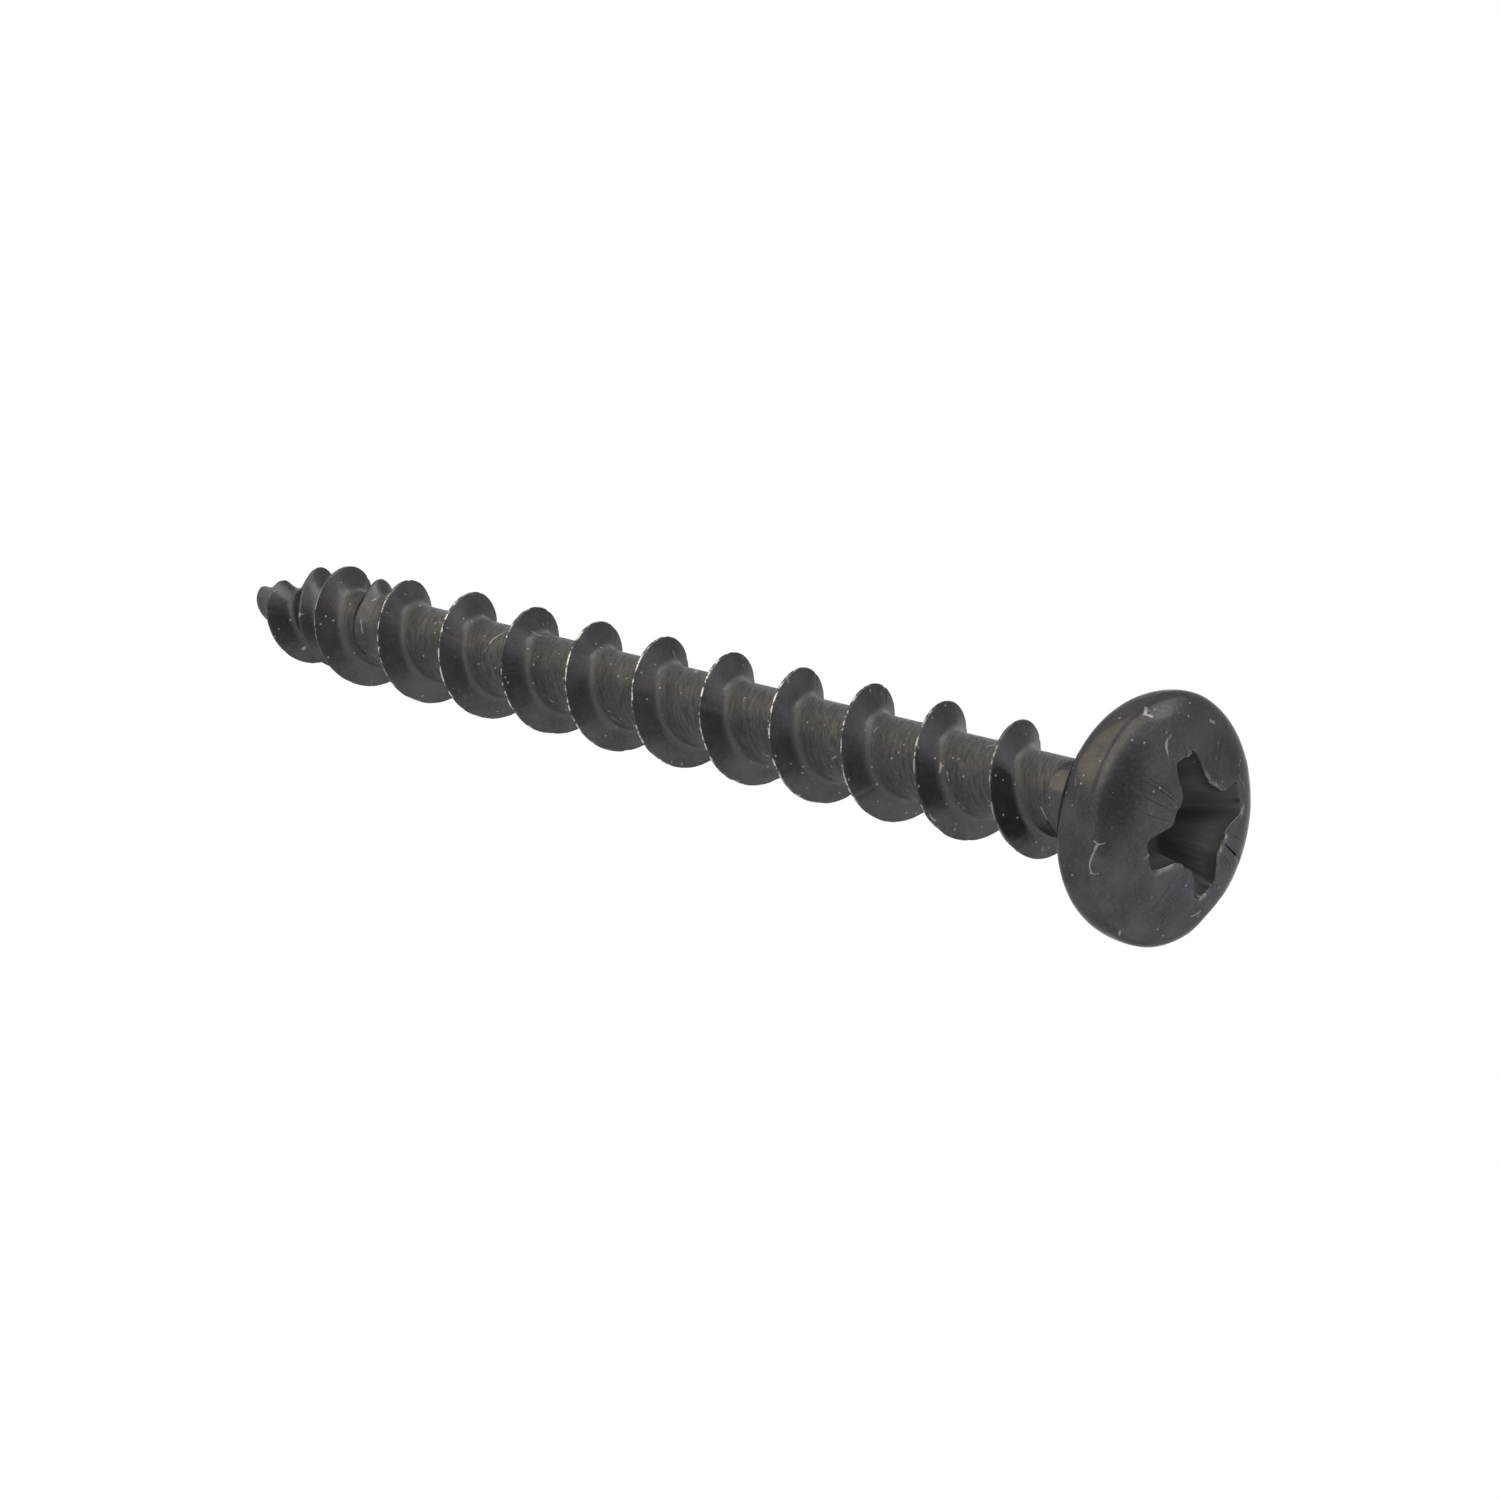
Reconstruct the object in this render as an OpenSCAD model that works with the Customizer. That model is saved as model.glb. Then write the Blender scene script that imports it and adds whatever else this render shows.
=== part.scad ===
// Wood screw with a domed pan head, a cross drive recess, a coarse right-hand
// thread and a point with a short second thread start.
// Millimetres. The origin is the centre of the flat seat under the head.
// +Z points out of the head along the axis, so the shank runs towards -Z.

/* [Head] */
// Diameter of the head at its widest
head_d = 8.0; // [7.4:0.1:9.0]
// Height of the head above its seat
head_h = 3.0; // [2.7:0.1:3.6]
// Height of the widest ring above the seat
rim_h = 1.45; // [1.0:0.05:1.8]
// Outside diameter of the flat seat under the head
seat_d = 6.0; // [5.0:0.1:6.4]

/* [Drive recess] */
// Tip to tip span of the cross at the top of the head
recess_span = 4.4; // [4.0:0.1:4.8]
// Depth of the cross below the top of the head
recess_depth = 2.2; // [1.8:0.1:2.3]
// Width of each wing of the cross
wing_w = 1.1; // [0.9:0.05:1.3]
// Diameter of the round core of the cross at its mouth
recess_core_d = 2.8; // [2.4:0.1:3.0]
// Depth of the four short marks between the wings
mark_depth = 0.12; // [0.08:0.02:0.2]

/* [Shank] */
// Length from the seat to the end of the point
length = 40.0; // [30:0.5:60]
// Diameter over the thread
thread_d = 4.2; // [3.9:0.1:4.6]
// Diameter at the bottom of the thread
core_d = 2.5; // [2.2:0.05:2.5]
// Diameter of the plain neck between the seat and the thread
neck_d = 2.56; // [2.56:0.02:2.8]
// Radius of the fillet between the neck and the seat
neck_fillet = 0.4; // [0.2:0.05:0.5]

/* [Thread] */
// Distance between two turns of the thread
pitch = 3.11; // [2.8:0.01:3.4]
// Width of the flat on top of the thread
crest_w = 0.12; // [0.08:0.02:0.2]
// Width of one sloping side of the thread
flank_w = 0.42; // [0.3:0.02:0.5]
// Distance below the seat at which the thread has run out
run_out_z = 2.15; // [2.1:0.05:4]
// Height over which the thread grows from nothing to its full depth
run_out_h = 0.8; // [0.5:0.1:2]
// Angle from a wing of the cross at which the thread would meet the seat
thread_turn = 130.5; // [0:0.5:359.5]

/* [Point] */
// Length of the tapered point
point_h = 5.4; // [4:0.1:7]
// Diameter of the blunt end of the point
point_end_d = 1.1; // [0.4:0.1:1.2]
// Height over which the second thread start grows, above the point
second_start_h = 3.2; // [2:0.1:4]

/* [Hidden] */
$fn = 96;
// Columns of facets round the threaded shank
columns = 24;
head_r = head_d / 2;
seat_r = seat_d / 2;
neck_r = neck_d / 2;
crest_r = thread_d / 2;
core_r = core_d / 2;
end_r = point_end_d / 2;
tip_z = -length;
point_z = tip_z + point_h;
second_z = point_z + second_start_h;
// The facets start inside the neck, which hides their flat top
neck_z = -run_out_z + 0.05;
shank_top = neck_z + 0.6;
// Distance from a crest to the bottom of its sloping side, and past its fillet
root_w = crest_w / 2 + flank_w;
fillet_w = root_w + 0.2;
// Part of the thread's depth left where the slope meets the fillet
fillet_part = 0.08;
// Distances of the rows of facets below a crest, over one pitch
row_steps = [
    crest_w / 2,
    root_w,
    fillet_w,
    pitch / 2 - root_w,
    pitch / 2 - crest_w / 2,
    pitch / 2 + crest_w / 2,
    pitch / 2 + root_w,
    pitch - fillet_w,
    pitch - root_w,
    pitch - crest_w / 2
];
steps = len(row_steps);
rows = steps * (ceil(length / pitch) + 3);

function clamp(x, low, high) = min(max(x, low), high);

// Depth of the thread, from 1 on its crest to 0 on the core, at a distance
// from the middle of the crest
function thread_part(d) =
    d <= crest_w / 2 ? 1 :
    d <= root_w ? 1 - (1 - fillet_part) * (d - crest_w / 2) / flank_w :
    d <= fillet_w ? fillet_part * (fillet_w - d) / (fillet_w - root_w) : 0;

// Radius of the core, which tapers over the point
function core_at(z) =
    core_r - (core_r - end_r) * clamp((point_z - z) / point_h, 0, 1);

// Radius over the thread, which closes in a curve over the point
function crest_at(z) =
    max(core_at(z), crest_r * (1 - 0.83 * pow(clamp((point_z - z) / point_h, 0, 1), 2.5)));

// Growth of the thread below the neck, and of its second start above the point
function main_part(crest_z) = clamp((-run_out_z - crest_z) / run_out_h, 0, 1);
function second_part(z) = pow(clamp((second_z - z) / second_start_h, 0, 1), 0.7);

// Height of one row of facets at one column, and its distance below a crest
function row_step(i) = row_steps[i % steps];
function row_z(i, j) =
    -pitch * (floor(i / steps) - 1 + thread_turn / 360 - j / columns) - row_step(i);

// Radius of the shank at a row and column
function row_r(i, z) =
    let (
        step = row_step(i),
        near = step < pitch / 2 ? step : step - pitch,
        main = thread_part(abs(near)) * main_part(z + near),
        second = thread_part(abs(step - pitch / 2)) * second_part(z)
    )
    core_at(z) + (crest_at(z) - core_at(z)) * max(main, second);

// Point at a radius, height and column
function on_column(r, z, j) =
    [r * cos(360 * j / columns), r * sin(360 * j / columns), z];

// Number of the point at a row and column. Rows past an end share that end's
// ring, and the last column is the first one, a turn of the thread higher.
function point_number(i, j) =
    row_z(i, j) >= shank_top ? j % columns :
    row_z(i, j) <= tip_z ? columns + j % columns :
    j == columns ? point_number(i - steps, 0) :
    2 * columns + i * columns + j;

// One facet as a list, empty where two of its corners are the same point
function facet(a, b, c) = (a == b || b == c || c == a) ? [] : [[a, b, c]];

module threaded_shank() {
    points = [
        for (j = [0:columns - 1]) on_column(core_at(shank_top), shank_top, j),
        for (j = [0:columns - 1]) on_column(core_at(tip_z), tip_z, j),
        for (i = [0:rows - 1], j = [0:columns - 1])
            on_column(row_r(i, row_z(i, j)), row_z(i, j), j)
    ];
    sides = [
        for (i = [0:rows - 2], j = [0:columns - 1])
            let (
                a = point_number(i, j),
                b = point_number(i, j + 1),
                c = point_number(i + 1, j + 1),
                d = point_number(i + 1, j)
            )
            each concat(facet(a, b, c), facet(a, c, d))
    ];
    top = [for (j = [columns - 1:-1:0]) j];
    bottom = [for (j = [0:columns - 1]) columns + j];
    polyhedron(points, concat(sides, [top, bottom]), convexity = 10);
}

// Half outline of the head and its neck, turned about the axis
module head_blank() {
    fillet = [
        for (a = [0:15:90])
            [neck_r + neck_fillet * (1 - cos(a)), -neck_fillet * (1 - sin(a))]
    ];
    lower_edge = [
        for (a = [0:10:80])
            [seat_r + (head_r - seat_r) * sin(a), rim_h * (1 - cos(a))]
    ];
    dome = [for (a = [0:6:84]) [head_r * cos(a), rim_h + (head_h - rim_h) * sin(a)]];
    ends = [[0, head_h], [0, neck_z], [neck_r, neck_z]];
    rotate_extrude() polygon(concat(ends, fillet, lower_edge, dome));
}

// One wing pair of the cross, tapered towards the bottom
module wing_pair() {
    mouth = recess_span / 2;
    foot = mouth * 0.62;
    bottom = head_h - recess_depth;
    translate([0, wing_w / 2, 0])
        rotate([90, 0, 0])
            linear_extrude(wing_w)
                polygon([
                    [-foot, bottom],
                    [foot, bottom],
                    [mouth, head_h],
                    [mouth, head_h + 1],
                    [-mouth, head_h + 1],
                    [-mouth, head_h]
                ]);
}

module drive_recess() {
    core_mouth_r = recess_core_d / 2;
    core_foot_r = core_mouth_r * 0.7;
    cone_h = 0.35;
    bottom = head_h - recess_depth;
    for (a = [0, 90]) rotate([0, 0, a]) wing_pair();
    translate([0, 0, bottom]) cylinder(h = recess_depth, r1 = core_foot_r, r2 = core_mouth_r);
    translate([0, 0, bottom - cone_h]) cylinder(h = cone_h, r1 = 0.05, r2 = core_foot_r);
}

// Short shallow mark in the dome, outwards from the core of the cross
module recess_mark() {
    mark_w = 0.22;
    inner = recess_core_d / 2 + 0.2;
    mark_l = 1.0;
    slope = atan((head_h - rim_h) / head_r * inner / sqrt(head_r * head_r - inner * inner));
    surface = rim_h + (head_h - rim_h) * sqrt(1 - pow(inner / head_r, 2));
    translate([inner, -mark_w / 2, surface - mark_depth])
        rotate([0, slope, 0])
            cube([mark_l, mark_w, 1]);
}

module screw() {
    color([0.16, 0.155, 0.16]) {
        difference() {
            head_blank();
            drive_recess();
            for (a = [45:90:315]) rotate([0, 0, a]) recess_mark();
        }
        threaded_shank();
    }
}

screw();
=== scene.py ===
"""Looks of the wood screw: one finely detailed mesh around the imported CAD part.

Lengths are in millimetres until the mesh is made, in the CAD's frame: the
origin is the centre of the seat under the head, +Z runs out of the head, and
angles are in degrees about +Z, from one wing of the drive recess.
"""

import math

import bpy
import numpy as np
from mathutils import Matrix, Vector


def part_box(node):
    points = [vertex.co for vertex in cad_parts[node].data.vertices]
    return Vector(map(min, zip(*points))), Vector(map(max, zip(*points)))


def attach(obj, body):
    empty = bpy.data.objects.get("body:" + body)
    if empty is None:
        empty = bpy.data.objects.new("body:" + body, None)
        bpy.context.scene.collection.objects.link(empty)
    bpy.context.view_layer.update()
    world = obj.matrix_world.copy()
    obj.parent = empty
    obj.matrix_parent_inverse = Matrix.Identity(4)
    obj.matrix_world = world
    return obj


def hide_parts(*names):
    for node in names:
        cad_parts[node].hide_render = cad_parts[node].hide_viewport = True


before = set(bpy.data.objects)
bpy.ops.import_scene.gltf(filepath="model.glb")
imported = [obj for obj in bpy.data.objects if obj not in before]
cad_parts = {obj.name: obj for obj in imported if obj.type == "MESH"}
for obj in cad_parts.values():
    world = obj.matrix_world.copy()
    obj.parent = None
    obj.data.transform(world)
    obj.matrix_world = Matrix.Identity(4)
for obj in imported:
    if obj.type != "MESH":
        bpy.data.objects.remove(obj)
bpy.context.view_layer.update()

MM = 0.001
low, high = (np.array(corner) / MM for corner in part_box("screw"))

# Head: its radius, height, widest ring and seat, and how it sits on the shank
HEAD_R = high[0]
HEAD_H = 3.0
RIM_H = 1.45
SEAT_R = 3.0
HEAD_SHIFT = (0.0, -0.115)
HEAD_TILT = (-0.023, 0.013)
# Drive recess
RECESS_REACH = 2.33
RECESS_DEPTH = 2.2
WING_W = 1.14
RECESS_CORE_R = 1.34
FOOT_REACH = 1.4
FOOT_WING_W = 0.75 * WING_W
FOOT_CORE_R = 0.95
# The recess's floor is a shallow cone
RECESS_FLOOR_Z = HEAD_H - RECESS_DEPTH
FLOOR_CONE_H = 0.4
FLOOR_MIDDLE_Z = RECESS_FLOOR_Z - 0.45
# Rings down the recess's wall, as shares of its depth
WALL_DEPTHS = (1.0, 0.94, 0.82, 0.68, 0.54, 0.42, 0.3, 0.2, 0.12, 0.06, 0.025)
# Rings of the lip round the mouth, as (distance outwards, share of the burrs' height)
LIP = ((0.0, 0.75), (0.02, 0.95), (0.045, 1.0), (0.08, 0.8), (0.13, 0.45), (0.2, 0.12))
# Small strokes on the dome between the wings
MARK_DEPTH = 0.05
MARK_HALF_W = 0.06
# Shank
LENGTH = -low[2]
CREST_R = 2.115
CORE_R = 1.25
NECK_R = 1.28
NECK_FILLET = 0.4
# Rings of points on the head and neck, in order from the top
DOME_RINGS = 55
EDGE_RINGS = 18
SEAT_RINGS = 6
FILLET_RINGS = 6
NECK_RINGS = 9
# Thread
PITCH = 3.11
CREST_W = 0.055
FLANK_W = 0.43
POINT_FLANK_W = 0.85
CREST_ROUND = 0.03
ROOT_FILLET = 0.2
# Distances past the flank between which its fillet ends
FILLET_END = (0.15, 0.6)
RUN_OUT_Z = 2.15
RUN_OUT_H = 0.8
THREAD_TURN = 130.5
# The neck's rings end a little above the shank's first ring
NECK_END_Z = -RUN_OUT_Z + 0.2
SHANK_TOP_Z = -RUN_OUT_Z + 0.05
# Point. Over its first stretch, the thread's flank on the tip's side widens.
POINT_H = 5.4
POINT_WIDENS_H = 2.0
POINT_END_R = 0.56
NOSE_TIP_Z = -LENGTH - 0.1
NOSE_ROUND = 0.13
NOSE_SLANT = 0.65
NOSE_SIDE = 156.5
# Columns of the mesh round the shank. The head has twice as many.
COLUMNS = 240
# Heights closer than this are the same
NEARLY = 1e-6

# The lists below hold places that were measured in the photograph with scratch
# scripts, then thinned out, rounded and adjusted by eye.
# Crest height over the last turns, as (turn, share of the crest's radius)
MAIN_CREST = [
    (10.35, 1.0), (10.57, 0.88), (10.9, 0.98), (11.35, 1.0), (11.55, 0.89),
    (11.95, 0.83), (12.2, 0.84), (12.3, 0.68), (12.42, 0.40), (12.6, 0.30),
]  # fmt: skip
SECOND_CREST = [
    (10.5, 0.5), (10.6, 0.66), (10.7, 0.74), (10.83, 0.75), (10.9, 0.89),
    (10.94, 0.87), (10.99, 0.77), (11.47, 0.80), (11.72, 0.74), (11.8, 0.76),
    (11.89, 0.87), (11.98, 0.77), (12.15, 0.6), (12.35, 0.3),
]  # fmt: skip
# How far the crest wanders along the screw over those turns
MAIN_WANDER = [(10.9, 0.0), (11.05, -0.15), (11.18, -0.21), (11.28, -0.15), (11.42, 0.0)]
SECOND_WANDER = [(10.55, -0.3), (10.67, -0.3), (10.78, 0.0)]
# Knocks on the crest, as (turn, width in turns, height)
KNOCKS = [
    (1.42, 0.1, -0.03), (2.4, 0.15, 0.025), (2.94, 0.02, 0.03), (3.42, 0.15, 0.03),
    (4.42, 0.15, 0.03), (5.2, 0.012, 0.03), (5.45, 0.1, -0.02), (6.19, 0.012, -0.04),
    (7.92, 0.05, -0.025), (8.42, 0.1, -0.02),
]  # fmt: skip
# Burrs round the mouth of the recess, as (angle, width, height)
BURRS = [
    (-4, 3, 0.10), (-24, 4, 0.09), (-50, 14, 0.07), (-103, 4, 0.10), (-128, 5, 0.10),
    (-150, 8, 0.08), (176, 6, 0.09), (110, 8, 0.08), (89, 3, 0.05),
]  # fmt: skip


# Noise and curves


def noise(points, scale, seed):
    """Smooth noise from -1 to 1 at points (n, 3), with features of one scale."""
    size = 64
    block = np.random.default_rng(seed).random((size, size, size))
    p = np.asarray(points) / scale + 1000.0
    cell = np.floor(p).astype(int)
    t = p - cell
    t = t * t * (3 - 2 * t)
    total = np.zeros(len(p))
    for corner in np.ndindex(2, 2, 2):
        i = (cell + corner) % size
        weight = np.prod(np.where(corner, t, 1 - t), axis=1)
        total += weight * block[i[:, 0], i[:, 1], i[:, 2]]
    return total * 2 - 1


def line_noise(x, scale, seed):
    """Smooth noise from -1 to 1 along a line."""
    x = np.asarray(x, float)
    points = np.stack([x.ravel(), np.zeros(x.size), np.zeros(x.size)], axis=1)
    return noise(points, scale, seed).reshape(x.shape)


def smooth_step(x, start, end):
    """A smooth rise from 0 to 1 as x goes from start to end."""
    t = np.clip((x - start) / (end - start), 0, 1)
    return t * t * (3 - 2 * t)


def bump(x, centre, width):
    """A smooth hill of height 1 at its centre."""
    return np.exp(-(((x - centre) / width) ** 2))


def curve(x, knots, blur=0.02):
    """A line through (x, y) knots, with its corners rounded."""
    at, value = zip(*knots)
    shifts = np.linspace(-2 * blur, 2 * blur, 7)
    return sum(np.interp(x + s, at, value) for s in shifts) / len(shifts)


def turn_gap(angle, centre):
    """Difference of two angles in degrees, from -180 to 180."""
    return (angle - centre + 180) % 360 - 180


def polar(radius, angle, z):
    """Points from their radius, their angle in degrees and their height."""
    a = np.radians(angle)
    return np.stack(np.broadcast_arrays(radius * np.cos(a), radius * np.sin(a), z), axis=-1)


# Mesh


class Patchwork:
    """Points, faces and per-point marks, gathered piece by piece."""

    def __init__(self):
        self.points = []
        self.marks = []
        self.faces = []
        self.count = 0

    def add_points(self, xyz, **marks):
        xyz = np.asarray(xyz, float).reshape(-1, 3)
        start = self.count
        self.points.append(xyz)
        self.marks.append({k: np.broadcast_to(v, len(xyz)) for k, v in marks.items()})
        self.count += len(xyz)
        return np.arange(start, self.count)

    def add_quads(self, a, b, c, d):
        """Faces from four arrays of corners. A face with two corners at the same
        point becomes a triangle, and one with fewer corners is left out."""
        quads = np.stack([np.ravel(x) for x in np.broadcast_arrays(a, b, c, d)], axis=1)
        for quad in quads.tolist():
            corners = [p for k, p in enumerate(quad) if p != quad[k - 1]]
            if len(corners) > 2 and len(set(corners)) == len(corners):
                self.faces.append(corners)

    def add_rings(self, rings):
        """Faces between neighbouring closed rings of points."""
        for first, second in zip(rings[:-1], rings[1:]):
            self.add_quads(first, second, np.roll(second, -1), np.roll(first, -1))

    def make(self, name):
        points = np.concatenate(self.points) * MM
        mesh = bpy.data.meshes.new(name)
        mesh.from_pydata(points.tolist(), [], self.faces)
        for key in sorted({key for marks in self.marks for key in marks}):
            values = [m.get(key, np.zeros(len(p))) for m, p in zip(self.marks, self.points)]
            layer = mesh.attributes.new(key, "FLOAT", "POINT")
            layer.data.foreach_set("value", np.concatenate(values).astype(np.float32))
        mesh.validate()
        mesh.shade_smooth()
        obj = bpy.data.objects.new(name, mesh)
        bpy.context.collection.objects.link(obj)
        return obj


# Head


def cross_radius(angle, reach, width, core):
    """Outline of a cross: four wings and a round core, blended together."""
    total = np.full(np.shape(angle), core) ** 10.0
    for wing in (0, 90, 180, 270):
        t = np.radians(turn_gap(angle, wing))
        along = np.maximum(np.cos(t), 0) / reach
        across = np.abs(np.sin(t)) / (width / 2)
        total += np.where(np.cos(t) > 0, (along**8 + across**8) ** (-10 / 8), 0)
    return total ** (1 / 10)


def mouth_angles(count):
    """Angles that space points evenly along the mouth of the recess."""
    dense = np.linspace(0, 360, 7201)
    xy = polar(cross_radius(dense, RECESS_REACH, WING_W, RECESS_CORE_R), dense, 0)[:, :2]
    run = np.concatenate([[0], np.cumsum(np.linalg.norm(np.diff(xy, axis=0), axis=1))])
    return np.interp(np.arange(count) * run[-1] / count, run, dense)


def dome_z(radius):
    """Height of the head's dome, which is half an ellipse."""
    return RIM_H + (HEAD_H - RIM_H) * np.sqrt(1 - np.clip(radius / HEAD_R, 0, 1) ** 2)


def head_marks(xy):
    """Strength, from 0 to 1, of the four small strokes, at points (n, 2)."""
    radius = np.hypot(xy[:, 0], xy[:, 1])
    angle = np.degrees(np.arctan2(xy[:, 1], xy[:, 0]))
    aside = np.radians(angle % 90 - 45) * radius
    ends = smooth_step(radius, 1.5, 1.8) * smooth_step(radius, 3.3, 2.9)
    return bump(aside, 0, MARK_HALF_W) * ends


def seat_head(xyz):
    """Move points of the head by its shift and tilt, which fade out at the seat."""
    xyz = np.array(xyz, float)
    share = smooth_step(xyz[:, 2], 0.0, RIM_H)
    rise = HEAD_TILT[0] * xyz[:, 0] + HEAD_TILT[1] * xyz[:, 1]
    above = xyz[:, 2] - RIM_H
    for axis in (0, 1):
        xyz[:, axis] += share * (HEAD_SHIFT[axis] - HEAD_TILT[axis] * above)
    xyz[:, 2] += share * rise
    return xyz


def recess_rings(work, count):
    """The recess from its middle out to the dome. Returns its rings of points
    and the outline of the outermost ring."""
    angle = mouth_angles(count)
    radius = cross_radius(angle, RECESS_REACH, WING_W, RECESS_CORE_R)
    radius = radius + 0.03 * line_noise(angle, scale=9.0, seed=11)
    radius = radius + 0.012 * line_noise(angle, scale=3.0, seed=12)
    mouth = polar(radius, angle, 0)[:, :2]
    along = np.roll(mouth, -1, axis=0) - np.roll(mouth, 1, axis=0)
    out = np.stack([along[:, 1], -along[:, 0]], axis=1)
    out /= np.linalg.norm(out, axis=1)[:, None]
    foot = polar(cross_radius(angle, FOOT_REACH, FOOT_WING_W, FOOT_CORE_R), angle, 0)[:, :2]
    rings = []

    def add(xy, z, recess, wear=0.0):
        xyz = seat_head(np.column_stack([xy, np.broadcast_to(z, len(xy))]))
        rings.append(work.add_points(xyz, recess=recess, wear=wear))

    for share in (0.25, 0.5, 0.75, 0.93):
        add(foot * share, RECESS_FLOOR_Z - FLOOR_CONE_H * (1 - share), recess=1.0)
    burr = 0.012 * np.maximum(line_noise(angle, scale=5.0, seed=13), 0)
    chips = 0.6 + 0.6 * line_noise(angle, scale=2.2, seed=14)
    for centre, width, height in BURRS:
        burr = burr + height * bump(turn_gap(angle, centre), 0, width) * chips
    wall = 0.02 * line_noise(angle, scale=2.5, seed=15)
    top_z = dome_z(radius) + 0.6 * burr
    for depth in WALL_DEPTHS:
        share = (1 - depth) ** 0.9
        waver = (wall * 4 * depth * (1 - depth))[:, None] * out
        xy = foot + (mouth - foot) * share + waver
        z = top_z + (RECESS_FLOOR_Z - top_z) * depth
        add(xy, z, recess=min(1.0, 0.2 + 3 * depth))
    for reach, lift in LIP:
        xy = mouth + out * reach
        # The dome rounds over a little as it meets the mouth
        edge = 0.02 * math.exp(-reach / 0.02)
        z = dome_z(np.hypot(*xy.T)) - edge + lift * burr
        add(xy, z, recess=0.0, wear=np.clip(burr * lift * 12, 0, 1))
    return rings, xy


def add_head(work):
    """The head and neck. Returns the lowest ring of the neck."""
    count = 2 * COLUMNS
    even = np.arange(count) * 360 / count
    rings, rim_xy = recess_rings(work, count)
    middle = work.add_points([[0, 0, FLOOR_MIDDLE_Z]], recess=1.0)
    start_r = np.hypot(*rim_xy.T)
    start_angle = np.degrees(np.arctan2(rim_xy[:, 1], rim_xy[:, 0]))
    end = np.arccos(start_r / HEAD_R)

    def add(radius, angle, z):
        xyz = seat_head(polar(radius, angle, z))
        # Forging leaves the head a little uneven, and one edge a little flat
        uneven = 0.012 * noise(xyz, scale=1.6, seed=21) + 0.005 * noise(xyz, scale=0.5, seed=22)
        flat = 0.1 * bump(turn_gap(angle, -164), 0, 9) * smooth_step(radius, 3.3, 3.9)
        xyz *= (1 + (uneven * smooth_step(radius, 1.6, 2.6) - flat) / HEAD_R)[:, None]
        rings.append(work.add_points(xyz))

    for share in np.linspace(0, 1, DOME_RINGS + 1)[1:]:
        a = end * (1 - share)
        angle = start_angle + turn_gap(even, start_angle) * smooth_step(share, 0, 0.8)
        radius = HEAD_R * np.cos(a)
        z = RIM_H + (HEAD_H - RIM_H) * np.sin(a)
        z = z - MARK_DEPTH * head_marks(polar(radius, angle, 0)[:, :2])
        add(radius, angle, z)
    for a in np.radians(np.linspace(86, 0, EDGE_RINGS)):
        add(SEAT_R + (HEAD_R - SEAT_R) * np.sin(a), even, RIM_H * (1 - np.cos(a)))
    for radius in np.linspace(SEAT_R - 0.2, NECK_R + NECK_FILLET, SEAT_RINGS):
        rings.append(work.add_points(polar(radius, even, 0.0)))
    for a in np.radians(np.linspace(78, 0, FILLET_RINGS)):
        radius = NECK_R + NECK_FILLET * (1 - np.cos(a))
        rings.append(work.add_points(polar(radius, even, -NECK_FILLET * (1 - np.sin(a)))))
    for z in np.linspace(-NECK_FILLET - 0.15, NECK_END_Z, NECK_RINGS):
        rings.append(work.add_points(polar(NECK_R, even, z)))
    work.add_quads(middle[0], rings[0], np.roll(rings[0], -1), middle[0])
    work.add_rings(rings)
    return rings[-1]


# Thread and shank


def core_at(z):
    """Radius of the core, which tapers over the point."""
    part = np.clip((-LENGTH + POINT_H - z) / POINT_H, 0, 1)
    return CORE_R - (CORE_R - POINT_END_R) * part


def thread_part(d, flank_w):
    """Height of the thread, 1 on the crest, at a distance from its middle."""
    flank = 1 - (np.abs(d) - CREST_W / 2) / flank_w
    lifted = (flank + np.sqrt(flank**2 + ROOT_FILLET**2)) / 2
    lifted = lifted * smooth_step(np.abs(d), flank_w + FILLET_END[1], flank_w + FILLET_END[0])
    return 1 - (1 - lifted + np.sqrt((1 - lifted) ** 2 + CREST_ROUND**2)) / 2


# Distances of the rows of points below a crest, closer together near crests
NEAR_STEPS = [0.0, 0.015, 0.035, 0.06, 0.1, 0.15, 0.21, 0.28, 0.35, 0.42, 0.49, 0.57, 0.66]
FAR_STEPS = [PITCH / 2 - step for step in NEAR_STEPS[::-1]]
GAP_STEPS = list(np.linspace(NEAR_STEPS[-1], FAR_STEPS[0], 4)[1:-1])
HALF_STEPS = NEAR_STEPS + GAP_STEPS + FAR_STEPS
STEPS = np.array(HALF_STEPS + [PITCH - step for step in HALF_STEPS[-2:0:-1]])


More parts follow.
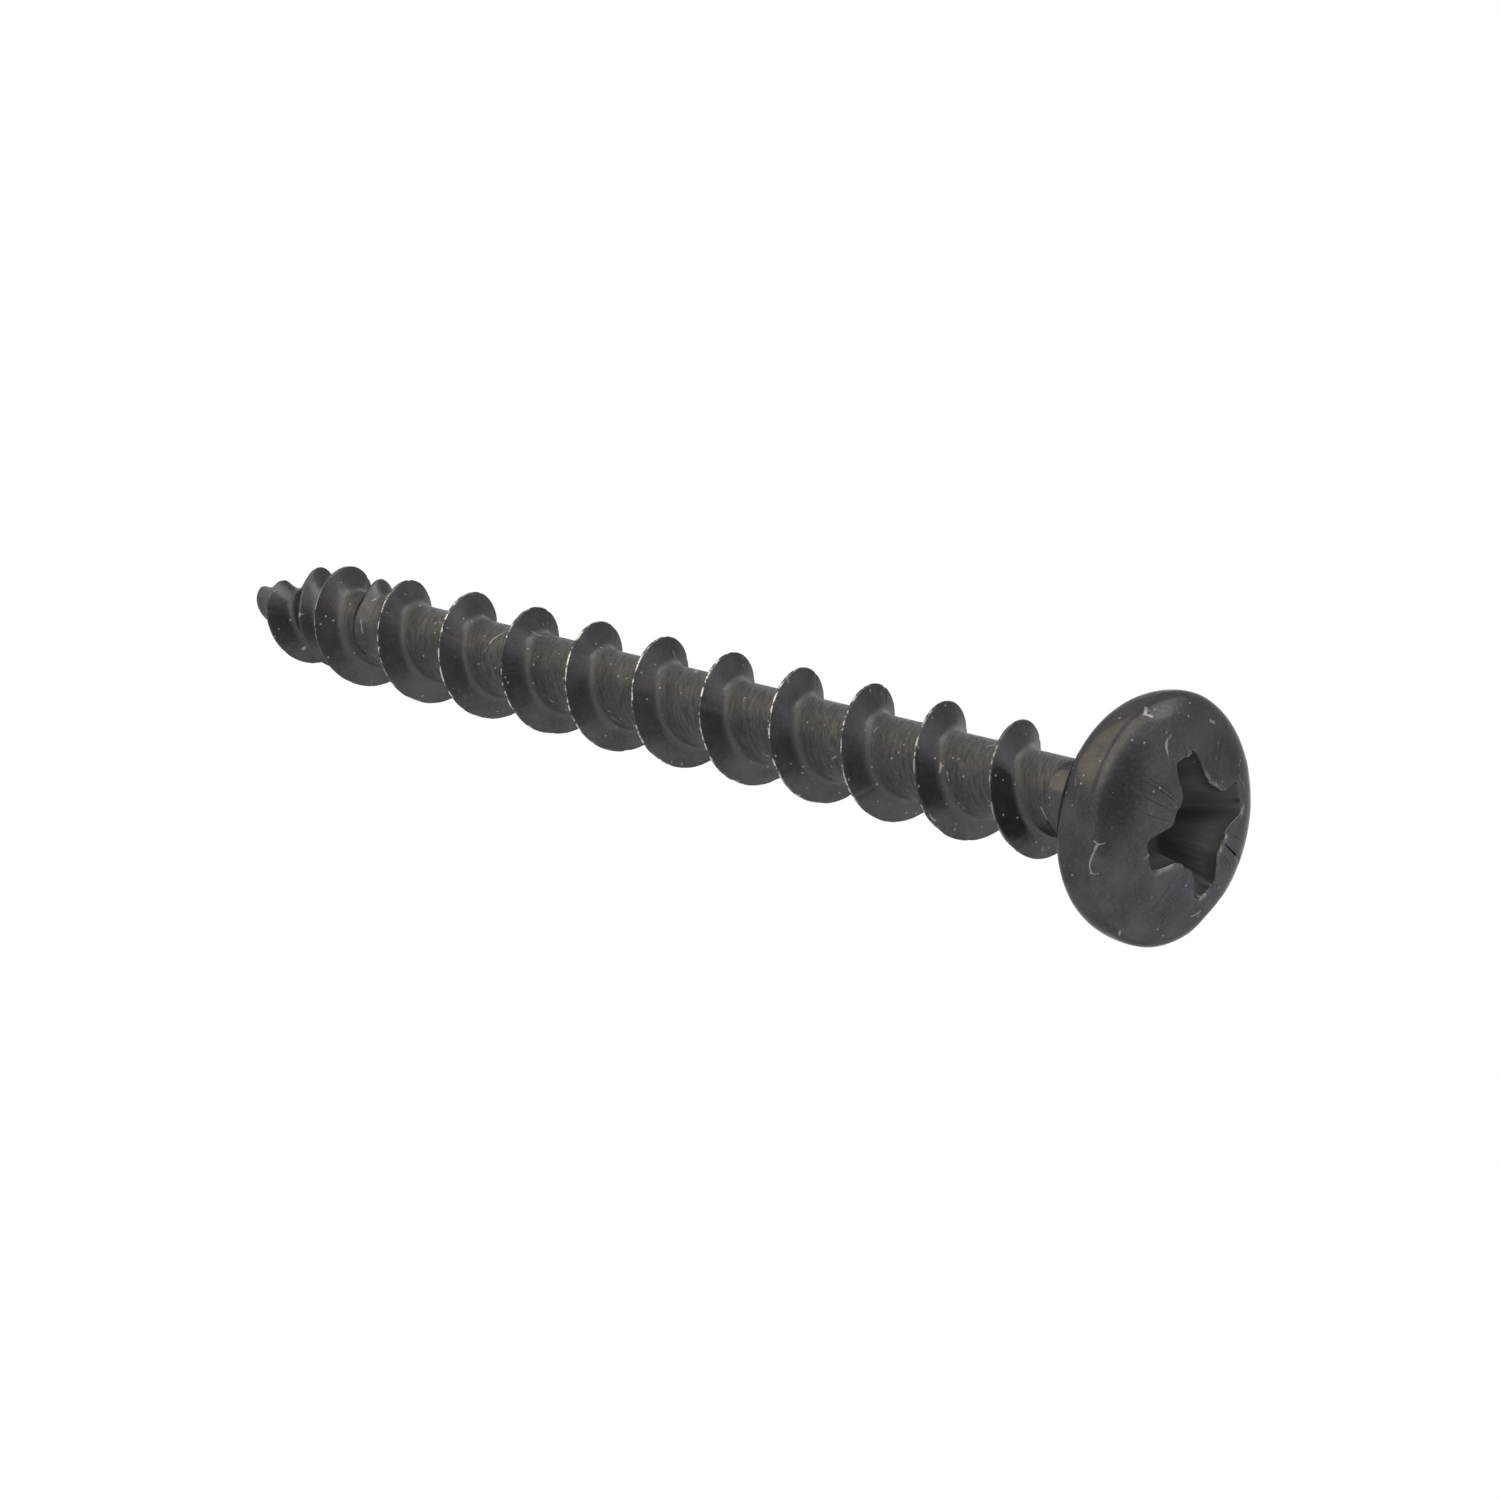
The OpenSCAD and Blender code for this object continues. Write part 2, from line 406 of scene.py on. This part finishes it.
def shank_surface():
    """Rows and columns of points on the threaded shank, which follow the thread.
    Returns their radius, angle and height, and their marks for the material."""
    per_turn = len(STEPS)
    rows = per_turn * (math.ceil(LENGTH / PITCH) + 3)
    i = np.arange(rows)[:, None]
    j = np.arange(COLUMNS + 1)[None, :]
    step = STEPS[i % per_turn]
    turn = i // per_turn - 1 + THREAD_TURN / 360 - j / COLUMNS
    z = -PITCH * turn - step
    below = np.where(step < PITCH / 2, step, step - PITCH)
    main_turn = -(z + below) / PITCH
    second_turn = turn + 0.5
    at_point = smooth_step(z, -LENGTH + POINT_H, -LENGTH + POINT_H - POINT_WIDENS_H)
    tip_side = FLANK_W + (POINT_FLANK_W - FLANK_W) * at_point
    main_part = thread_part(below, np.where(below > 0, tip_side, FLANK_W))
    main_part = main_part * smooth_step(main_turn * PITCH, RUN_OUT_Z, RUN_OUT_Z + RUN_OUT_H)
    from_second = step - PITCH / 2
    second_part = thread_part(from_second, np.where(from_second > 0, tip_side, FLANK_W))

    knocks = sum(h * bump(main_turn, at, width) for at, width, h in KNOCKS)
    nicks = 0.06 * np.minimum(line_noise(main_turn, scale=0.03, seed=31) + 0.55, 0)
    nicks = nicks + 0.012 * line_noise(main_turn, scale=0.16, seed=32)
    core = core_at(z)
    main_r = np.maximum(core, CREST_R * curve(main_turn, MAIN_CREST) + knocks + nicks)
    second_r = np.maximum(core, CREST_R * curve(second_turn, SECOND_CREST))
    z = z + curve(main_turn, MAIN_WANDER) * bump(below, 0, 0.5)
    z = z + curve(second_turn, SECOND_WANDER) * bump(from_second, 0, 0.5)
    # A rolled thread weaves a little along the screw
    z = z + 0.012 * line_noise(main_turn, scale=0.3, seed=33) * bump(below, 0, 0.6)
    main_rise = (main_r - core) * main_part
    second_rise = (second_r - core) * second_part
    radius = core + np.maximum(main_rise, second_rise)
    # Rolling leaves faint lines along the valleys
    unrolled = np.stack([step + 0 * turn, turn * 2.0, 0 * turn], axis=-1).reshape(-1, 3)
    rolled = noise(unrolled, scale=0.12, seed=34).reshape(z.shape)
    radius = radius + 0.002 * rolled * (1 - main_part)
    angle = np.broadcast_to(360 * j / COLUMNS, z.shape)
    # The crest's mark grows with its height, and the second start is less worn
    main_mark = main_part * smooth_step(main_r - core, 0, 0.2)
    second_mark = 0.8 * second_part * smooth_step(second_r - core, 0, 0.2)
    marks = {
        "crest": np.maximum(main_mark, second_mark),
        "below": step + 0 * turn,
        "turn": turn + 0 * step,
    }
    return radius, angle, z, marks


def nose_z(radius, angle):
    """The flat, slanted end where the point was pinched off."""
    slope = np.cos(np.radians(angle - NOSE_SIDE)) * radius / POINT_END_R
    return NOSE_TIP_Z + NOSE_SLANT / 2 * (1 + slope)


def add_shank(work, neck_ring):
    """The threaded shank and its blunt nose, joined to the neck's lowest ring."""
    radius, angle, z, marks = shank_surface()
    even = np.arange(COLUMNS) * 360 / COLUMNS
    bottom_z = nose_z(POINT_END_R, even) + NOSE_ROUND
    top = work.add_points(polar(CORE_R, even, SHANK_TOP_Z))
    bottom = work.add_points(polar(core_at(bottom_z), even, bottom_z))
    above = z >= SHANK_TOP_Z - NEARLY
    under = z <= np.append(bottom_z, bottom_z[0]) + NEARLY
    keep = ~(above | under)[:, :COLUMNS]
    numbers = np.full(z.shape, -1)
    xyz = polar(radius, angle, z)[:, :COLUMNS][keep]
    kept_marks = {key: value[:, :COLUMNS][keep] for key, value in marks.items()}
    numbers[:, :COLUMNS][keep] = work.add_points(xyz, **kept_marks)
    # The last column is the first one, a turn of the thread higher
    per_turn = len(STEPS)
    numbers[per_turn:, COLUMNS] = numbers[:-per_turn, 0]
    column = np.arange(COLUMNS + 1) % COLUMNS
    numbers = np.where(above, top[column], numbers)
    numbers = np.where(under, bottom[column], numbers)
    work.add_quads(numbers[:-1, :-1], numbers[1:, :-1], numbers[1:, 1:], numbers[:-1, 1:])

    # Two columns of the neck meet each column of the shank
    left = neck_ring[0::2]
    middle = neck_ring[1::2]
    right = np.roll(left, -1)
    work.add_quads(left, left, top, middle)
    work.add_quads(middle, top, np.roll(top, -1), right)

    rings = [bottom]
    for a in np.radians(np.linspace(15, 90, 6)):
        round_r = core_at(bottom_z) - NOSE_ROUND * (1 - np.cos(a))
        z = nose_z(round_r, even) + NOSE_ROUND * (1 - np.sin(a))
        rings.append(work.add_points(polar(round_r, even, z)))
    flat_r = core_at(bottom_z) - NOSE_ROUND
    for share in (0.85, 0.6, 0.35, 0.15):
        xyz = polar(flat_r * share, even, nose_z(flat_r * share, even))
        xyz[:, 2] += 0.03 * noise(xyz, scale=0.3, seed=41)
        rings.append(work.add_points(xyz))
    work.add_rings(rings)
    tip = work.add_points([[0, 0, nose_z(0, 0)]])
    work.add_quads(rings[-1], tip[0], tip[0], np.roll(rings[-1], -1))


def make_screw():
    work = Patchwork()
    add_shank(work, add_head(work))
    return work.make("wood_screw")


screw = make_screw()
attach(screw, "root")
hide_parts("screw")


# Material

# Colours of the finish, as linear red, green and blue
OXIDE_DARK = (0.040, 0.0395, 0.0415)
OXIDE_PALE = (0.061, 0.0597, 0.060)
OXIDE_GRAIN = (0.08, 0.078, 0.077)
VALLEY_STREAK = (0.026, 0.0245, 0.023)
# Painted light: a lighter colour for the corner where the flank meets the core, to lift the shade there
CORNER_PAINTED_LIGHT = (0.065, 0.0635, 0.063)
SPECK = (0.42, 0.39, 0.36)
SCRATCH = (0.30, 0.29, 0.28)
BARE_STEEL = (0.48, 0.46, 0.44)
# Painted light: a lighter colour for the recess, to lift its shade
RECESS_PAINTED_LIGHT = (0.10, 0.098, 0.10)


class Nodes:
    """Short ways to add and link the nodes of one node tree."""

    def __init__(self, tree):
        self.tree = tree

    def node(self, kind, inputs=(), **settings):
        node = self.tree.nodes.new("ShaderNode" + kind)
        for key, value in settings.items():
            setattr(node, key, value)
        for key, value in dict(inputs).items():
            self.put(node.inputs[key], value)
        return node

    def put(self, socket, value):
        if isinstance(value, bpy.types.NodeSocket):
            self.tree.links.new(value, socket)
        else:
            socket.default_value = value

    def mark(self, name):
        """One of the marks that the mesh carries on its points."""
        return self.node("Attribute", attribute_name=name).outputs["Fac"]

    def maths(self, operation, *values):
        node = self.node("Math", operation=operation)
        for socket, value in zip(node.inputs, values):
            self.put(socket, value)
        return node.outputs[0]

    def times(self, first, second):
        return self.maths("MULTIPLY", first, second)

    def plus(self, first, second):
        return self.maths("ADD", first, second)

    def band(self, value, start, end, to=(0.0, 1.0)):
        """A smooth rise from to[0] to to[1] as the value goes from start to end."""
        inputs = {"Value": value, "From Min": start, "From Max": end, "To Min": to[0], "To Max": to[1]}
        return self.node("MapRange", inputs, interpolation_type="SMOOTHSTEP").outputs["Result"]

    def cloud(self, vector, scale, detail=2.0, roughness=0.5):
        inputs = {"Vector": vector, "Scale": scale, "Detail": detail, "Roughness": roughness}
        return self.node("TexNoise", inputs).outputs["Fac"]

    def mix(self, share, first, second):
        """Mix of two colours, each a tuple of three numbers or a socket."""
        node = self.node("Mix", data_type="RGBA")
        self.put(node.inputs[0], share)
        for socket, colour in ((node.inputs[6], first), (node.inputs[7], second)):
            self.put(socket, (*colour, 1) if isinstance(colour, tuple) else colour)
        return node.outputs[2]


def new_material(name):
    """A material, the nodes of its tree, and its surface shader."""
    material = bpy.data.materials.new(name)
    material.use_nodes = True
    tree = material.node_tree
    return material, Nodes(tree), tree.nodes["Principled BSDF"]


def steel_masks(s):
    """Where on the screw each feature of the finish is, from 0 to 1."""
    place = s.node("TexCoord").outputs["Object"]
    crest = s.mark("crest")
    turn = s.mark("turn")
    masks = {"recess": s.mark("recess")}

    # Clouds of four sizes, and streaks that run along the valleys
    masks["blotches"] = s.cloud(place, 700.0, 4.0, 0.6)
    masks["dulling"] = s.cloud(place, 2200.0, 5.0, 0.7)
    masks["pits"] = s.cloud(place, 3200.0, 3.0, 0.6)
    masks["grain"] = s.cloud(place, 9000.0, 3.0, 0.6)
    rolled = s.node("CombineXYZ", {"X": s.mark("below"), "Y": s.times(turn, 1.1)})
    masks["streaks"] = s.cloud(rolled.outputs[0], 11.0, 6.0, 0.75)

    # The valleys, and the corner between thread and core
    on_shank = s.band(turn, 0.02, 0.1)
    in_valley = s.times(on_shank, s.band(crest, 0.25, 0.0))
    masks["in_valley"] = in_valley
    masks["streaked"] = s.times(in_valley, s.band(masks["streaks"], 0.44, 0.60, (0.0, 0.85)))
    # The corner is where painted light lifts the shade at the thread's root
    by_thread = s.times(s.band(crest, 0.0, 0.05), s.band(crest, 0.35, 0.1))
    masks["corner"] = s.times(on_shank, by_thread)

    # Specks of dust and bare metal, in a few cells of a fine cell pattern
    cells = s.node("TexVoronoi", {"Vector": place, "Scale": 5200.0})
    cell_red = s.node("SeparateColor", {"Color": cells.outputs["Color"]}).outputs[0]
    chosen = s.maths("GREATER_THAN", cell_red, 0.91)
    masks["specks"] = s.times(chosen, s.band(cells.outputs["Distance"], 0.26, 0.12))

    # A few fine scratches, along short lengths of the borders of large cells
    wander = s.node("TexNoise", {"Vector": place, "Scale": 900.0, "Detail": 0.0}).outputs["Color"]
    by = (0.0012, 0.0012, 0.0012)
    bent = s.node("VectorMath", {0: wander, 1: by, 2: place}, operation="MULTIPLY_ADD")
    large = s.node("TexVoronoi", {"Vector": bent.outputs[0], "Scale": 420.0}, feature="DISTANCE_TO_EDGE")
    short = s.band(s.cloud(place, 1200.0, 1.0, 0.5), 0.64, 0.68)
    masks["scratches"] = s.times(s.band(large.outputs["Distance"], 0.014, 0.005), short)

    # Bare, broken edge along the crests, most of it halfway down the shank
    on_edge = s.band(crest, 0.96, 0.99)
    broken = s.band(s.cloud(place, 2600.0, 4.0, 0.75), 0.47, 0.58)
    below_head = s.band(turn, 0.5, 4.0, (0.35, 1.0))
    above_point = s.band(turn, 11.0, 8.5, (0.12, 1.0))
    masks["bare"] = s.times(s.times(on_edge, broken), s.times(below_head, above_point))
    masks["lip"] = s.times(s.mark("wear"), s.band(s.cloud(place, 2500.0, 2.0, 0.6), 0.35, 0.6))
    return masks


def steel_colour(s, masks):
    """Dark oxide, under dust, scratches and bare edges, with painted light: the corners by the thread
    and the recess are painted lighter to lift their shade.
    """
    colour = s.mix(s.band(masks["blotches"], 0.35, 0.68), OXIDE_DARK, OXIDE_PALE)
    colour = s.mix(s.band(masks["grain"], 0.45, 0.75, (0.0, 0.55)), colour, OXIDE_GRAIN)
    colour = s.mix(masks["streaked"], colour, VALLEY_STREAK)
    # Painted light in the corner by the thread, lifting the shade that falls there
    colour = s.mix(s.times(masks["corner"], 0.5), colour, CORNER_PAINTED_LIGHT)
    colour = s.mix(s.times(masks["specks"], 0.5), colour, SPECK)
    colour = s.mix(s.times(masks["scratches"], 0.6), colour, SCRATCH)
    worn = s.maths("MAXIMUM", masks["bare"], s.times(masks["lip"], 0.45))
    colour = s.mix(worn, colour, BARE_STEEL)
    # Painted light in the recess: its skin is painted lighter to lift its shade
    return s.mix(s.times(masks["recess"], 0.8), colour, RECESS_PAINTED_LIGHT)


def steel_metallic(s, masks):
    """Partly metallic, less so where the skin is sheltered and more where it is bare."""
    sheltered = s.maths("MAXIMUM", s.times(masks["in_valley"], 0.7), masks["recess"])
    metallic = s.maths("SUBTRACT", 0.75, s.times(sheltered, 0.6))
    return s.plus(metallic, s.times(masks["bare"], 0.2))


def steel_roughness(s, masks):
    """Satin, and duller in the valleys, in the recess and on the specks."""
    rough = s.band(masks["dulling"], 0.3, 0.7, (0.16, 0.28))
    for name, more in (("in_valley", 0.12), ("streaked", 0.12), ("recess", 0.35), ("specks", 0.3)):
        rough = s.plus(rough, s.times(masks[name], more))
    return rough


def steel_height(s, masks):
    """Height, in metres, of grain, pits, rolled lines and specks."""
    height = s.plus(s.times(masks["grain"], 0.0012 * MM), s.times(masks["pits"], 0.006 * MM))
    lines = s.times(s.times(masks["streaks"], masks["in_valley"]), 0.018 * MM)
    specks = s.times(masks["specks"], 0.01 * MM)
    return s.plus(height, s.plus(lines, specks))


def black_steel():
    """Blackened steel: a dark oxide skin, rolled streaks, worn crests and dust, with painted light in
    the corners by the thread and in the recess.
    """
    material, s, surface = new_material("black_steel")
    masks = steel_masks(s)
    s.put(surface.inputs["Base Color"], steel_colour(s, masks))
    s.put(surface.inputs["Metallic"], steel_metallic(s, masks))
    s.put(surface.inputs["Roughness"], steel_roughness(s, masks))
    s.put(surface.inputs["Specular Tint"], (0.35, 0.35, 0.35, 1))
    s.put(surface.inputs["Specular IOR Level"], 0.5)
    relief = s.node("Bump", {"Strength": 1.0, "Distance": 1.0, "Height": steel_height(s, masks)})
    s.put(surface.inputs["Normal"], relief.outputs["Normal"])
    return material


screw.data.materials.append(black_steel())


# Camera at the photograph's viewing angle, with its lengths in millimetres
CAMERA_AZIMUTH = 57.69
CAMERA_ELEVATION = 36.35
CAMERA_DISTANCE = 143.84
CAMERA_ROLL = -103.98
CAMERA_LENS = 111.4
AIM = (-0.798, 0.514, -15.431)


def direction(azimuth, elevation):
    a, e = math.radians(azimuth), math.radians(elevation)
    return Vector((math.cos(a) * math.cos(e), math.sin(a) * math.cos(e), math.sin(e)))


def add_camera():
    data = bpy.data.cameras.new("camera")
    data.lens = CAMERA_LENS
    data.sensor_width = 36
    data.clip_start = 0.01
    data.clip_end = 10
    camera = bpy.data.objects.new("camera", data)
    bpy.context.collection.objects.link(camera)
    place = direction(CAMERA_AZIMUTH, CAMERA_ELEVATION) * (CAMERA_DISTANCE * MM)
    look = Vector(AIM) * MM - place
    level = look.to_track_quat("-Z", "Y").to_matrix().to_4x4()
    roll = Matrix.Rotation(math.radians(-CAMERA_ROLL), 4, "Z")
    camera.matrix_world = Matrix.Translation(place) @ level @ roll
    bpy.context.scene.camera = camera
    return camera


camera = add_camera()


# Studio, in metres. A soft tent surrounds the screw, brighter on the far side.
# It has a warm part overhead, a small bright strip, a dimmer gap and a dark hood.
# "Overhead" is the top of the picture, and the floor lies below the point.
FLOOR_Z = -LENGTH * MM - 0.03
FLOOR_SIZE = 6.0
FLOOR_COLOUR = (0.9, 0.9, 0.9, 1)
PANEL_SIZE = (0.148, 0.133)
PANEL_PLACE = (0.086, 0.084)
PANEL_LIFT = 0.002
# Watts for each square metre
PANEL_POWER = 4.2
PANEL_COLOUR = (1.0, 0.88, 0.5)
# Brightness of the tent and its parts, as red, green and blue
TENT = (1.3, 1.26, 1.37)
BEHIND = (1.52, 1.47, 1.6)
OVERHEAD = (2.8, 2.55, 2.3)
STRIP = (3.9, 3.9, 4.05)
GAP = (0.95, 0.92, 1.0)
HOOD = (0.5, 0.485, 0.53)


def add_floor():
    mesh = bpy.data.meshes.new("floor")
    h = FLOOR_SIZE / 2
    mesh.from_pydata([(-h, -h, 0), (h, -h, 0), (h, h, 0), (-h, h, 0)], [], [(0, 1, 2, 3)])
    floor = bpy.data.objects.new("floor", mesh)
    floor.location.z = FLOOR_Z
    bpy.context.collection.objects.link(floor)
    material, s, surface = new_material("pale_floor")
    s.put(surface.inputs["Base Color"], FLOOR_COLOUR)
    s.put(surface.inputs["Roughness"], 0.8)
    mesh.materials.append(material)


def add_panel():
    """A warm panel that lies on the floor and shines up. It is on the side of the
    screw that is upward in the picture, and reaches from there to the camera's side."""
    data = bpy.data.lights.new("low_panel", "AREA")
    data.shape = "RECTANGLE"
    data.size, data.size_y = PANEL_SIZE
    data.energy = PANEL_POWER * PANEL_SIZE[0] * PANEL_SIZE[1]
    data.color = PANEL_COLOUR
    panel = bpy.data.objects.new("low_panel", data)
    bpy.context.collection.objects.link(panel)
    panel.visible_camera = False
    towards_camera = direction(CAMERA_AZIMUTH, 0) * PANEL_PLACE[0]
    aside = direction(CAMERA_AZIMUTH - 90, 0) * PANEL_PLACE[1]
    place = towards_camera + aside
    place.z = FLOOR_Z + PANEL_LIFT
    face_up = Matrix.Rotation(math.pi, 4, "X")
    turned = Matrix.Rotation(math.radians(CAMERA_AZIMUTH), 4, "Z")
    panel.matrix_world = Matrix.Translation(place) @ turned @ face_up


def add_tent():
    """Light from all round, mixed from one part of the tent after another."""
    world = bpy.data.worlds.new("studio")
    bpy.context.scene.world = world
    world.use_nodes = True
    s = Nodes(world.node_tree)
    facing = s.node("TexCoord").outputs["Generated"]
    axes = camera.matrix_world.to_3x3()
    right, up, back = axes.col[0], axes.col[1], axes.col[2]

    def towards(vector, start, end):
        """A smooth rise as the light's direction comes nearer to a vector."""
        inputs = {0: facing, 1: vector.normalized()}
        along = s.node("VectorMath", inputs, operation="DOT_PRODUCT").outputs["Value"]
        return s.band(along, start, end)

    overhead = s.times(towards(up, 0.2, 0.42), towards(Vector((0, 0, 1)), 0.62, 0.38))
    parts = [
        (towards(-back, -0.2, 0.6), BEHIND),
        (overhead, OVERHEAD),
        (towards(0.76 * up + 0.65 * right + 0.03 * back, 0.965, 0.993), STRIP),
        (towards(0.3 * up + 0.85 * right - 0.43 * back, 0.82, 0.95), GAP),
        (towards(direction(CAMERA_AZIMUTH - 15, 65), 0.68, 0.97), HOOD),
    ]
    light = TENT
    for share, colour in parts:
        light = s.mix(share, light, colour)
    s.put(world.node_tree.nodes["Background"].inputs["Color"], light)


add_floor()
add_panel()
add_tent()
bpy.context.scene.view_settings.view_transform = "Standard"
